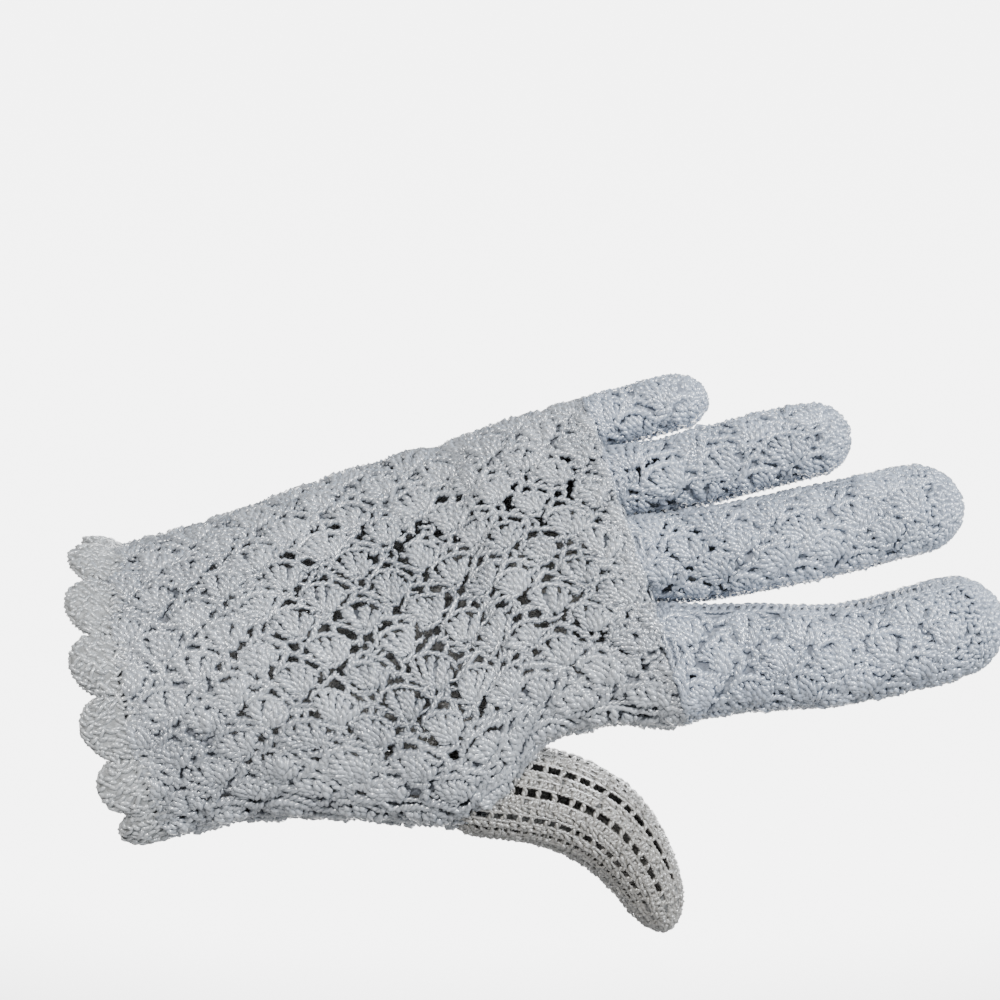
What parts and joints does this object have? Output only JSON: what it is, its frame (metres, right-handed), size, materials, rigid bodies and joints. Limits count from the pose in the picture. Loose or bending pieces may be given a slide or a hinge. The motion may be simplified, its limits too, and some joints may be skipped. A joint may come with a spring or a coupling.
{
  "type": "crocheted lace glove",
  "caption": "Left-hand crocheted lace glove in its worn form, with a shell-stitch back, a mesh palm and thumb, closed fingers and a scalloped cuff, open at the wrist.",
  "frame": {"origin": "centre of the wrist opening, where the hand panels meet the scalloped edging", "axes": "+X from the wrist to the fingertips, +Z to the little-finger side with the thumb on the -Z side, and the back of the hand faces -Y, tilted 15 degrees up"},
  "size_m": [0.2072, 0.0491, 0.1291],
  "materials": {
    "lace_cotton": "off-white mercerised cotton yarn in shell stitch, soft sheen with small bright glints, cool grey in the shade",
    "mesh_cotton": "off-white cotton yarn in open mesh with rows of square holes, slightly greyer and plainer than the back",
    "edging_cotton": "ivory cotton yarn in dense puffy scallops"
  },
  "bodies": {
    "root": {"back_panel": "lace_cotton", "palm_panel": "mesh_cotton", "thumb": "mesh_cotton", "cuff_edging": "edging_cotton", "index_finger": "lace_cotton", "middle_finger": "lace_cotton", "ring_finger": "lace_cotton", "little_finger": "lace_cotton"}
  },
  "joints": []
}
